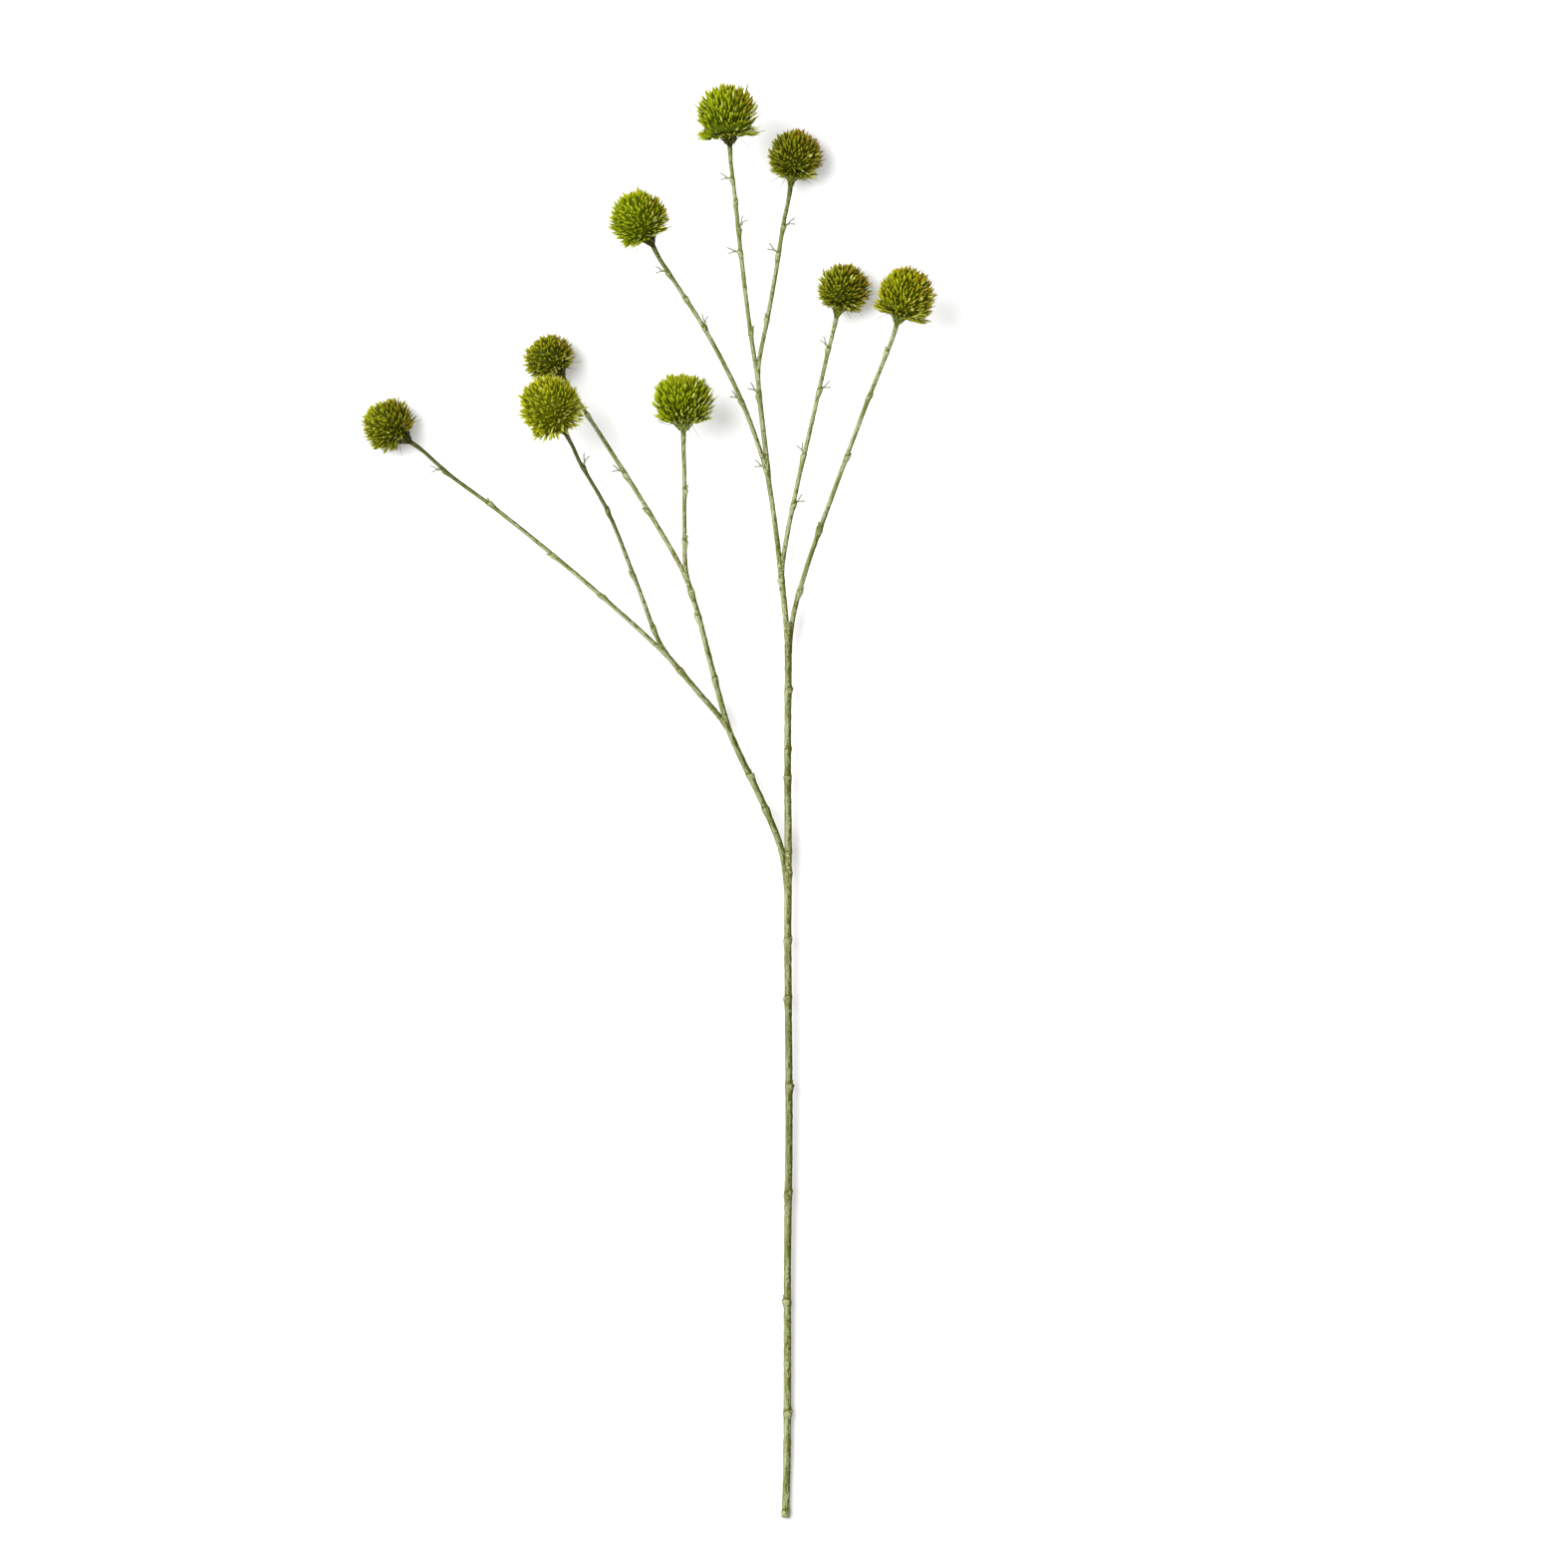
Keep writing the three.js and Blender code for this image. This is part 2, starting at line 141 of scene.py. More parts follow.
# Each shoot: its middle line from its fork on, how far back it starts inside the shoot that bears
# it and how far beside that it leaves, its radii and how dark its skin is from one end to the
# other, and what stands on it
SHOOTS = [
    {
        "points": [(-1.1, 0, 3), (0, 48, 4.1), (0.4, 205, 7), (1.5, 295, 8.4), (0.6, 437, 10.6),
                   (0.9, 500, 11.6), (0.5, 560, 12.4), (1.1, 674, 14)],
        "radii": (2.6, 2.7, 2.65, 2.6, 2.7, 2.6, 2.6, 2.6, 2.7, 2.4, 2.5, 2.6),
        "dark": (0.15, 0.25, 0.25, 0.4, 0.45, 0.5, 0.5, 0.45, 0.15, 0.5, 0.35, 0.65),
        "forks": (495, 655),
        "grown": [ring(5), bud(80, RIGHT), bud(164, LEFT), ring(245), bud(326, RIGHT),
                  bud(392, LEFT), ring(436), ring(486, 0.6), ring(501, 0.4), ring(558),
                  ring(578, 0.7), bud(623, RIGHT), ring(655, 0.3), ring(END)],
    },
    {
        "points": [(0.9, 500, 11.6), (-15.8, 532.5, 11.9), (-33.3, 569.2, 12.3), (-47.2, 600, 13)],
        "way": (0, 1, 0),
        "root": (29, LEFT * 4.6),
        "radii": (2.35, 2.15),
        "dark": (0.5, 0.45),
        "grown": [ring(36), bud(64, RIGHT), ring(END)],
    },
    {
        "points": [(-47.2, 600, 13), (-56.9, 641, 14.5), (-66.2, 677, 16), (-77, 712, 18)],
        "way": (-0.4, 0.9, 0),
        "root": (17, RIGHT * 1.4),
        "radii": (2.05, 1.85),
        "dark": (0.3, 0.2),
        "grown": [ring(32), bud(80, LEFT), ring(100), ring(END)],
    },
    {
        "points": [(-77, 712, 18), (-76.9, 748.4, 26), (-76.8, 781, 34)],
        "way": (-0.3, 0.95, 0),
        "root": (18, RIGHT * 1.2),
        "radii": (1.6, 1.45),
        "dark": (0.2, 0),
        "flower": "middle",
        "grown": [bud(23, RIGHT), bud(62, RIGHT)],
    },
    {
        "points": [(-77, 712, 18), (-99.1, 748.6, 19), (-132.7, 802.5, 19), (-151.1, 830.9, 18)],
        "way": (-0.3, 0.95, 0),
        "root": (18, LEFT * 1.2),
        "radii": (1.65, 1.5, 1.2),
        "dark": (0.1, 0.1, 0),
        "flower": "left_back",
        "grown": [bud(53, LEFT), stipule(86, LEFT, 35), ring(138)],
    },
    {
        "points": [(-47.2, 600, 13), (-68.5, 623, 13.5), (-95, 654.5, 15)],
        "way": (-0.4, 0.9, 0),
        "root": (17, LEFT * 1.4),
        "radii": (1.95, 1.85),
        "dark": (0.35, 0.45),
        "grown": [ring(50), ring(END)],
    },
    {
        "points": [(-95, 654.5, 15), (-151.8, 703.8, 19), (-217.5, 757.6, 20), (-253.8, 784.5, 19)],
        "way": (-0.65, 0.75, 0),
        "root": (22, LEFT * 1.2),
        "radii": (1.6, 1.45, 1.2),
        "dark": (0.45, 0.35, 0.25, 0.5, 1.2),
        "flower": "far_left",
        "grown": [ring(59), bud(107, LEFT), bud(168, RIGHT), stipule(211, LEFT, 40)],
    },
    {
        "points": [(-95, 654.5, 15), (-113.2, 703.6, 24), (-134.6, 757, 37), (-154.8, 792.4, 47)],
        "way": (-0.65, 0.75, 0),
        "root": (22, RIGHT * 1.2),
        "radii": (1.6, 1.4, 1.2),
        "dark": (0.5, 0.4, 0.5, 0.85, 1.2),
        "flower": "left_front",
        "grown": [ring(16), bud(59, LEFT), ring(112), stipule(150, RIGHT, 50)],
    },
    {
        "points": [(1.1, 674, 14), (14.2, 712.7, 22), (33.2, 766.1, 33), (59.8, 837.1, 44)],
        "way": (0, 1, 0),
        "root": (31, RIGHT * 2.8),
        "radii": (1.8, 1.45),
        # Its darkest skin, at its root beside the trunk, is painted shade where the two strands run together.
        "dark": (0.9, 0.5, 0.1, 0, 0.55, 0.1, 0, 0, 0, 0, -0.1),
        "flower": "right_outer",
        "grown": [bud(24, RIGHT), ring(73, 1.2), bud(75, LEFT), bud(132, RIGHT), ring(181),
                  bud(216, LEFT)],
    },
    {
        "points": [(1.1, 674, 14), (-3.8, 704, 15.2), (-4.5, 717.3, 16)],
        "way": (0, 1, 0),
        "root": (28, LEFT * 1.9),
        "radii": (2.15, 2),
        "dark": (0.2, 0.1),
        "grown": [bud(32, LEFT), ring(END)],
    },
    {
        "points": [(-4.5, 717.3, 16), (5.6, 766.6, 18), (17.9, 820.4, 19), (30.3, 874.3, 18)],
        "way": (0, 1, 0),
        "root": (20, RIGHT * 1.1),
        "radii": (1.65, 1.4),
        "dark": (0.2, 0.1),
        "flower": "right_inner",
        "grown": [stipule(45, RIGHT, 43), stipule(83, LEFT, 35), stipule(133, RIGHT, 45),
                  stipule(165, LEFT, 44)],
    },
    {
        "points": [(-4.5, 717.3, 16), (-10.5, 757.6, 19), (-15.3, 789, 22)],
        "way": (0, 1, 0),
        "root": (20, LEFT * 1.1),
        "radii": (1.85, 1.75),
        "dark": (0.1, 0.2),
        "grown": [stipule(END, LEFT, 60)],
    },
    {
        "points": [(-15.3, 789, 22), (-33.6, 837.6, 35), (-60.6, 890.3, 51)],
        "way": (-0.15, 0.98, 0.1),
        "root": (18, LEFT * 0.9),
        "radii": (1.6, 1.4),
        "dark": (0.2, 0.1, 0.1, 0.1, 0.1, 0.9),
        "flower": "upper_left",
        "grown": [stipule(55, LEFT, 33), stipule(118, RIGHT, 37), ring(144), stipule(168, LEFT, 47)],
    },
    {
        "points": [(-15.3, 789, 22), (-20.2, 838, 25.5), (-22.4, 863.3, 28)],
        "way": (-0.15, 0.98, 0.1),
        "root": (18, RIGHT * 0.9),
        "radii": (1.75, 1.65),
        "dark": (0.2, 0),
        "grown": [stipule(56, LEFT, 45), ring(END)],
    },
    {
        "points": [(-22.4, 863.3, 28), (-28.7, 900.1, 36), (-35, 953, 48), (-38.7, 988.3, 54)],
        "way": (-0.1, 0.98, 0.1),
        "root": (18, LEFT * 0.9),
        "radii": (1.5, 1.4),
        "dark": (0, -0.1),
        "flower": "top",
        "grown": [bud(29, RIGHT), stipule(89, LEFT, 75), stipule(107, RIGHT, 39), ring(127),
                  stipule(144, LEFT, 70)],
    },
    {
        "points": [(-22.4, 863.3, 28), (-14.6, 900.7, 27), (-8.2, 936.6, 25), (-2.6, 972.7, 21.5)],
        "way": (-0.1, 0.98, 0.1),
        "root": (18, RIGHT * 0.9),
        "radii": (1.5, 1.4),
        "dark": (0, 0, 0, 0, 0, 0.7),
        "flower": "top_right",
        "grown": [bud(38, LEFT), stipule(88, LEFT, 63), stipule(109, RIGHT, 55)],
    },
]


class Line:
    """A smooth line through points, read by the distance along it."""

    def __init__(self, points):
        points = [Vector(point) for point in points]
        points = [2 * points[0] - points[1], *points, 2 * points[-1] - points[-2]]
        self.places = []
        for before, start, end, after in zip(points, points[1:], points[2:], points[3:]):
            came, here, next_one = (
                math.sqrt((b - a).length) for a, b in ((before, start), (start, end), (end, after))
            )
            leave = (start - before) / came - (end - before) / (came + here) + (end - start) / here
            arrive = (end - start) / here - (after - start) / (here + next_one) + (after - end) / next_one
            handles = start + leave * here / 3, end - arrive * here / 3
            self.places += interpolate_bezier(start, *handles, end, 60)[:-1]
        self.places.append(points[-2])
        self.distances = [0]
        for last, place in zip(self.places, self.places[1:]):
            self.distances.append(self.distances[-1] + (place - last).length)
        self.length = self.distances[-1]

    def at(self, distance):
        """The place and the heading at a distance along the line."""
        i = min(max(bisect(self.distances, distance), 1), len(self.places) - 1)
        start, end = self.places[i - 1], self.places[i]
        share = (distance - self.distances[i - 1]) / (self.distances[i] - self.distances[i - 1])
        return start.lerp(end, share), (end - start).normalized()


def section(place, heading, across, lift):
    """Where a ring of a tube lies: its half widths across and upwards, square to its heading."""
    side = heading.cross(UP).normalized()
    over = side.cross(heading)
    turn = Matrix((side * across, over * lift, heading)).transposed()
    return Matrix.Translation(place) @ turn.to_4x4()


def sweep(bm, sections, sides):
    """A closed tube: a ring of corners pulled from section to section. Returns its rings."""
    first = bmesh.ops.create_circle(bm, cap_ends=True, segments=sides, radius=1, matrix=sections[0])
    ring_now = first["verts"]
    edges = list({edge for vert in ring_now for edge in vert.link_edges})
    rings = [ring_now]
    for last, here in zip(sections, sections[1:]):
        pulled = bmesh.ops.extrude_edge_only(bm, edges=edges)["geom"]
        ring_now = [part for part in pulled if isinstance(part, bmesh.types.BMVert)]
        edges = [part for part in pulled if isinstance(part, bmesh.types.BMEdge)]
        bmesh.ops.transform(bm, matrix=here @ last.inverted(), verts=ring_now)
        rings.append(ring_now)
    bmesh.ops.contextual_create(bm, geom=edges)
    return rings


def smoothstep(low, high, value):
    """Rises smoothly from 0 at low to 1 at high, or falls where high is under low."""
    share = min(max((value - low) / (high - low), 0), 1)
    return share * share * (3 - 2 * share)


def along(values, share):
    """The value at a share of the way through evenly spaced ones."""
    place = share * (len(values) - 1)
    i = min(int(place), len(values) - 2)
    return values[i] + (values[i + 1] - values[i]) * (place - i)


def node_form(past):
    """How far a node stands out, at a distance past its ring: a slow rise, a lip and a short fall."""
    if past < 0:
        return smoothstep(-NODE_RISE, 0, past) ** NODE_CURVE
    lip = NODE_LIP_SHARE * smoothstep(0, NODE_LIP, past)
    return 1 - lip - (1 - NODE_LIP_SHARE) * smoothstep(NODE_LIP, NODE_FALL, past)


def unevenness(form, around, stop, number):
    """How far the skin stands out at a place on a shoot: soft knobs, or fine lines along it."""
    spot = Vector((form["around"] * around.x, form["around"] * around.y, form["along"] * stop + 9 * number))
    return form["depth"] * noise.noise(spot)


def new_mesh(numbers):
    """A mesh being made, and the layers of what its corners carry: grain is a place in the tissue."""
    bm = bmesh.new()
    layers = [bm.verts.layers.float_vector.new("grain")]
    return bm, *layers, *(bm.verts.layers.float.new(name) for name in numbers)


def gather(whole, part):
    """Adds one mesh being made to another."""
    mesh = bpy.data.meshes.new("part")
    part.to_mesh(mesh)
    part.free()
    whole.from_mesh(mesh)
    bpy.data.meshes.remove(mesh)


STEM_NUMBERS = ("dark", "fork", "crest", "crease", "side", "pale")
GRAIN_STEP = 700
GROWTH_GRAIN = 8
stem = new_mesh(STEM_NUMBERS)[0]
chance = random.Random(7)


def side_growth(shoot_line, node, grain_start):
    """Puts a bud or a stipule on a node of the shoot that is being made."""
    root, heading = shoot_line.at(node["at"])
    out = heading.cross(UP).normalized() * node["side"]
    angle = node.get("angle", 0)
    turn = math.radians(angle)
    stalk = heading * math.cos(turn) + out * math.sin(turn)
    for part in GROWTHS[node["kind"]]:
        length, radius, pale = part["length"], part["radius"], part["pale"]
        start = root + stalk * part["foot"]
        lean = math.radians(angle + part["turn"] + chance.uniform(-GROWTH_SPREAD, GROWTH_SPREAD))
        way = heading * math.cos(lean) + out * math.sin(lean)
        way = (way + UP * chance.uniform(*GROWTH_RISE)).normalized()
        bend = (out + UP * chance.uniform(*TIP_RISE)) * (length * (TINE_BEND if pale else BUD_BEND))
        line = Line([start, start + way * length * 0.55, start + way * length + bend])
        stops = [line.length * i / (len(part["shares"]) - 1) for i in range(len(part["shares"]))]
        sections = [
            section(*line.at(stop), radius * share, radius * share * part["flatness"])
            for stop, share in zip(stops, part["shares"])
        ]
        for stop, ring_now in zip(stops, sweep(bm, sections, GROWTH_SIDES)):
            for vert in ring_now:
                vert[grain_of] = Vector((vert.co.x, vert.co.z, grain_start + GROWTH_GRAIN * stop))
                vert[pale_of] = pale if part["foot"] else pale * stop / line.length
                vert[crest_of] = 0 if pale else BUD_CREST


for number, shoot in enumerate(SHOOTS):
    bm, grain_of, dark_of, fork_of, crest_of, crease_shade_of, side_of, pale_of = new_mesh(STEM_NUMBERS)
    points = [Vector(point) for point in shoot["points"]]
    depth = 0
    if "way" in shoot:
        way = Vector(shoot["way"]).normalized()
        depth, aside = shoot["root"]
        beside = way.cross(UP) * aside
        points[0] += beside
        points.insert(0, points[0] - way * depth - beside * ROOT_ASIDE)
    if "flower" in shoot:
        flower = FLOWERS[shoot["flower"]]
        axis = Vector(flower["axis"]).normalized()
        reach = BALL_FOOT * flower["radius"] + SEAM + CALYX_LENGTH
        neck = (reach + NECK_LENGTH, reach - NECK_SUNK)
        points += [Vector(flower["centre"]) - axis * back for back in neck]
    line = Line(points)
    nodes = [
        {**node, "at": min(node["at"] + depth, line.length), "tilt": chance.uniform(-NODE_TILT, NODE_TILT)}
        for node in shoot["grown"]
    ]
    count = round(line.length / STATION_STEP)
    stops = {line.length * i / count for i in range(count + 1)}
    for node in nodes:
        stops |= {node["at"] + past for past in NODE_STATIONS if 0 < node["at"] + past < line.length}
    stops = sorted(stops)
    grain_start = GRAIN_STEP * number
    sections = []
    for stop in stops:
        sinking = 1 - ROOT_THINNING * (1 - smoothstep(0, max(depth, 1), stop)) if depth else 1
        widening = 1
        if "flower" in shoot:
            flare_start = line.length - NECK_FLARE["length"]
            widening += NECK_FLARE["share"] * smoothstep(flare_start, line.length, stop)
        radius = (along(shoot["radii"], stop / line.length) + SKIN) * sinking * widening
        sections.append(section(*line.at(stop), radius, radius))
    for stop, place, ring_now in zip(stops, sections, sweep(bm, sections, STEM_SIDES)):
        back = place.inverted()
        centre = place.translation
        thickness = place.median_scale
        for vert in ring_now:
            around = back @ vert.co
            pasts = [stop - node["at"] + node["tilt"] * around.x for node in nodes]
            crest = max(
                node_form(past) * node["size"] * (1 + NODE_LEAN * node["side"] * around.x)
                for node, past in zip(nodes, pasts)
            )
            uneven = unevenness(KNOBS, around, stop, number) + unevenness(LINES, around, stop, number)
            vert.co = centre + (vert.co - centre) * (1 + NODE_SWELL * crest / thickness + uneven)
            vert.co.z = max(vert.co.z, OVER_TABLE)
            vert[grain_of] = Vector((around.x, around.y, 0)) * thickness + UP * (grain_start + stop)
            vert[dark_of] = along(shoot["dark"], stop / line.length)
            forks = shoot.get("forks", (depth, line.length))
            vert[fork_of] = max(smoothstep(*FORK_SCARS_AND_SHADE, abs(stop - at)) for at in forks)
            vert[crest_of] = crest
            vert[crease_shade_of] = max(
                smoothstep(*CREASE_START, past) * smoothstep(NODE_FALL, NODE_LIP, past) for past in pasts
            )
            vert[side_of] = around.x
    for node in nodes:
        if node["kind"] != "ring":
            side_growth(line, node, grain_start + node["at"])
    gather(stem, bm)


class Tone:
    """A socket of a material: a number, a colour or a place. Sums written on it add Math nodes."""

    def __init__(self, socket):
        self.socket = socket

    def node(self, kind, settings, values, output=0):
        """Adds a node of any kind: its settings first, then the values or links of its sockets."""
        tree = self.socket.id_data
        made = tree.nodes.new(kind)
        for name, value in settings.items():
            if name == "stops":
                for _ in value[2:]:
                    made.color_ramp.elements.new(1)
                for element, (place, shade) in zip(made.color_ramp.elements, value):
                    element.position = place
                    element.color = shade
            else:
                setattr(made, name, value)
        for name, value in values.items():
            if isinstance(value, Tone):
                tree.links.new(value.socket, made.inputs[name])
            else:
                made.inputs[name].default_value = value
        return Tone(made.outputs[output])

    def sum(self, operation, first, second):
        return self.node("ShaderNodeMath", {"operation": operation}, {0: first, 1: second})

    def __add__(self, other):
        return self.sum("ADD", self, other)

    def __radd__(self, other):
        return self.sum("ADD", other, self)

    def __sub__(self, other):
        return self.sum("SUBTRACT", self, other)

    def __rsub__(self, other):
        return self.sum("SUBTRACT", other, self)

    def __mul__(self, other):
        return self.sum("MULTIPLY", self, other)

    def __rmul__(self, other):
        return self.sum("MULTIPLY", other, self)

    def step(self, low, high):
        """Rises smoothly from 0 at low to 1 at high, or falls where high is under low."""
        return self.node(
            "ShaderNodeMapRange",
            {"interpolation_type": "SMOOTHSTEP"},
            {"Value": self, "From Min": low, "From Max": high},
        )

    def between(self, first, second):
        """A colour that goes from first, where this number is 0, to second, where it is 1."""
        return self.node("ShaderNodeMix", {"data_type": "RGBA"}, {0: self, 6: first, 7: second}, 2)

    def cloud(self, stretch, detail=2.0):
        """Soft spots from 0 to 1 at this place, and how fine they are on each axis."""
        spread = self.node("ShaderNodeVectorMath", {"operation": "MULTIPLY"}, {0: self, 1: stretch})
        return self.node("ShaderNodeTexNoise", {}, {"Vector": spread, "Scale": 1.0, "Detail": detail})

    def relief(self, strength, depth):
        """The normal of a surface whose height is this number, for the depth in metres."""
        return self.node("ShaderNodeBump", {}, {"Strength": strength, "Distance": depth, "Height": self})

    def named(self, name, output="Fac"):
        """A number that the piece's own mesh carries."""
        return self.node("ShaderNodeAttribute", {"attribute_name": name}, {}, output)

    def into(self, shader, name):
        self.socket.id_data.links.new(self.socket, shader.inputs[name])


def colour(red, green, blue):
    """A colour as seen on a screen, from 0 to 255, as the shader wants it."""
    parts = (red, green, blue)
    return tuple(((c / 255 + 0.055) / 1.055) ** 2.4 if c > 10 else c / 255 / 12.92 for c in parts) + (1,)


def finish(name):
    """A new material, its shader and the place on the piece that is being coloured."""
    material = bpy.data.materials.new(name)
    material.use_nodes = True
    nodes = material.node_tree.nodes
    return material, nodes["Principled BSDF"], Tone(nodes.new("ShaderNodeTexCoord").outputs["Object"])


TINE_COLOUR = colour(142, 144, 124)


def waxy_skin(name, pale, light, mid, mottle, deep):
    """Waxy plant skin: pale bloom over darker green, thinned in streaks, and darker along its right side,
    away from the lamp, partly as painted shade.
    """
    material, shader, place = finish(name)
    grain = place.named("grain", "Vector")
    bloom = grain.cloud((0.35, 0.35, 0.05)).step(0.35, 0.62)
    skin = bloom.between(mid, light)
    streaks = grain.cloud((1.7, 1.7, 0.09)).step(0.42, 0.7)
    skin = (streaks * 0.35).between(skin, mottle)

    # The bloom is rubbed off down to the mottle and worn off down to the deep green, and more along the right
    # side, away from the lamp, partly as painted shade.
    dark = place.named("dark")
    side = place.named("side") * (0.1 + dark * 0.24)
    fork = place.named("fork")
    rubbed_and_shaded = (grain.cloud((0.7, 0.7, 0.14), 4.0) + side + dark * 0.06).step(0.54, 0.65)
    skin = (rubbed_and_shaded * 0.85).between(skin, mottle)
    worn_and_shaded = (grain.cloud((0.9, 0.9, 0.3), 4.0) + side + dark * 0.06).step(0.6, 0.7)
    skin = (worn_and_shaded * 0.85).between(skin, deep)

    # Dark specks and pale scars lie thickest round the forks; the dark specks there and on the right side are
    # partly painted shade.
    specks = grain.cloud((1.0, 1.0, 0.5), 3.0)
    skin = ((specks + side * 0.5 + fork * 0.05).step(0.56, 0.63) * 0.9).between(skin, mottle)
    scars = (grain.cloud((0.6, 0.6, 0.9)) + fork * 0.06).step(0.66, 0.74)
    skin = (scars * 0.8).between(skin, pale)

    # A node has a pale lip, with painted shade in the crease over it.
    crest = place.named("crest").step(0.5, 1.0)
    skin = (crest * grain.cloud((0.5, 0.5, 0.5)).step(0.4, 0.65) * 0.5).between(skin, pale)
    skin = (place.named("crease") * grain.cloud((0.8, 0.8, 0.2)).step(0.3, 0.5)).between(skin, mottle)
    skin = (dark.step(0.15, 1.1) * 0.75).between(skin, deep)
    skin = ((0 - dark).step(0.0, 1.0) * 0.6).between(skin, pale)
    skin = place.named("pale").between(skin, TINE_COLOUR)
    skin.into(shader, "Base Color")
    height = streaks * 0.5 + rubbed_and_shaded * 0.3 + grain.cloud((3.0, 3.0, 0.6)) - scars * 0.6
    height.relief(0.5, 0.0004).into(shader, "Normal")
    (0.5 + grain.cloud((1.0, 1.0, 0.3)) * 0.3).into(shader, "Roughness")
    shader.inputs["Specular IOR Level"].default_value = 0.08
    return material


def finish_piece(name, bm, node, materials):
    """A mesh in millimetres from the cut end becomes the piece that stands for its solid."""
    bmesh.ops.recalc_face_normals(bm, faces=bm.faces)
    bmesh.ops.transform(bm, matrix=TO_FRAME, verts=bm.verts)
    for face in bm.faces:
        face.smooth = True
    mesh = bpy.data.meshes.new(name)
    bm.to_mesh(mesh)
    bm.free()
    for material in materials:
        mesh.materials.append(material)
    piece = bpy.data.objects.new(name, mesh)
    bpy.context.scene.collection.objects.link(piece)
    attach(piece, "root")
    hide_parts(node)


stem_skin = waxy_skin(
    "sage_stem_skin",
    pale=colour(189, 193, 150),
    light=colour(156, 160, 121),
    mid=colour(119, 124, 74),
    mottle=colour(80, 85, 18),
    deep=colour(47, 47, 0),
)
finish_piece("stem_skin", stem, "stem", [stem_skin])


# Each flower sits in a calyx: a funnel that widens from the stalk's end to the ball, wrapped in
# rows of small pointed bracts. It is tissue of the stalk, and most are a darker green than it.
CALYXES = {
    "top": {"rim": 6.2, "dark": 1.0},
    "top_right": {"rim": 2.6, "dark": 0.2},
    "upper_left": {"rim": 4.2, "dark": 1.1},
    "right_inner": {"rim": 3.2, "dark": -0.1},
    "right_outer": {"rim": 4.8, "dark": -0.4},
    "left_back": {"rim": 3.4, "dark": 1.2},
    "left_front": {"rim": 4.2, "dark": 1.1},
    "middle": {"rim": 6.4, "dark": -0.5},
    "far_left": {"rim": 4.2, "dark": 1.2},
}
CALYX_SIDES = 16
BRACT_ROWS = [
    {"foot": 1.2, "length": 4.6, "lean": 12, "count": 6},
    {"foot": 3.2, "length": 5.2, "lean": 27, "count": 8},
    {"foot": 5.4, "length": 5.4, "lean": 40, "count": 10},
]
BRACT_OUTLINE = [(0, 0.5), (0.25, 0.95), (0.5, 1), (0.78, 0.6), (1, 0.06)]
BRACT_WIDTH = 0.27
BRACT_THICKNESS = 0.08
BRACT_SUNK = 0.9
CALYX_GRAIN_STEP = 90


def funnel(stalk, rim):
    """A calyx's outline from the end of a stalk up to its rim: heights and half widths."""
    return [
        (-1.4, 1.0 * stalk),
        (-0.4, 1.12 * stalk),
        (1.2, 1.22 * stalk),
        (3, 1.05 * stalk + 0.12 * rim),
        (5.2, 0.62 * rim),
        (7.4, 0.82 * rim),
        (9.2, rim),
        (10.4, 0.86 * rim),
    ]


def blade(bm, outline, width, thickness, bend):
    """A pointed blade one unit long on Z, ridged on both sides, that bends towards Y."""
    sections = [
        Matrix.Translation((0, bend * z * z, z)) @ Matrix.Diagonal((share * width, share * thickness, 1, 1))
        for z, share in outline
    ]
    rings = sweep(bm, sections, 4)
    bmesh.ops.pointmerge(bm, verts=rings[-1], merge_co=sections[-1].translation)
    return [vert for ring_now in rings for vert in ring_now if vert.is_valid]


def flower_frame(flower):
    """Where a ball's own frame lies: its middle at 0, and its top along Z."""
    turn = UP.rotation_difference(Vector(flower["axis"]).normalized())
    return Matrix.Translation(Vector(flower["centre"])) @ turn.to_matrix().to_4x4()


calyx_skin = waxy_skin(
    "olive_calyx_skin",
    pale=colour(144, 154, 82),
    light=colour(118, 127, 48),
    mid=colour(86, 95, 24),
    mottle=colour(60, 66, 0),
    deep=colour(38, 35, 0),
)
for number, (name, flower) in enumerate(FLOWERS.items()):
    chance = random.Random(40 + number)
    looks = CALYXES[name]
    stalk = next(shoot for shoot in SHOOTS if shoot.get("flower") == name)["radii"][-1]
    foot = -BALL_FOOT * flower["radius"] - SEAM - CALYX_LENGTH
    bm, grain_of, dark_of, crest_of = new_mesh(("dark", "crest"))
    profile = funnel(stalk, looks["rim"])
    sections = [Matrix.Translation((0, 0, foot + z)) @ Matrix.Diagonal((r, r, 1, 1)) for z, r in profile]
    sweep(bm, sections, CALYX_SIDES)
    for row_number, row in enumerate(BRACT_ROWS):
        beside = next(r for z, r in profile if z >= row["foot"]) * BRACT_SUNK
        for i in range(row["count"]):
            verts = blade(bm, BRACT_OUTLINE, BRACT_WIDTH, BRACT_THICKNESS, chance.uniform(0, 0.1))
            for vert in verts:
                vert[crest_of] = 0.2 + 0.8 * vert.co.z
            length = row["length"] * chance.uniform(0.85, 1.15)
            turns = (i + 0.5 * row_number + chance.uniform(-0.15, 0.15)) / row["count"]
            lean = math.radians(row["lean"] + chance.uniform(-5, 5))
            place = (
                Matrix.Rotation(math.tau * turns, 4, "Z")
                @ Matrix.Translation((0, beside, foot + row["foot"]))
                @ Matrix.Rotation(-lean, 4, "X")
                @ Matrix.Scale(length, 4)
            )
            bmesh.ops.transform(bm, matrix=place, verts=verts)
    for vert in bm.verts:
        vert[grain_of] = vert.co + UP * (CALYX_GRAIN_STEP * number)
        vert[dark_of] = looks["dark"]
    bmesh.ops.transform(bm, matrix=flower_frame(flower), verts=bm.verts)
    finish_piece("calyx_bracts_" + name, bm, "calyx_" + name, [calyx_skin])
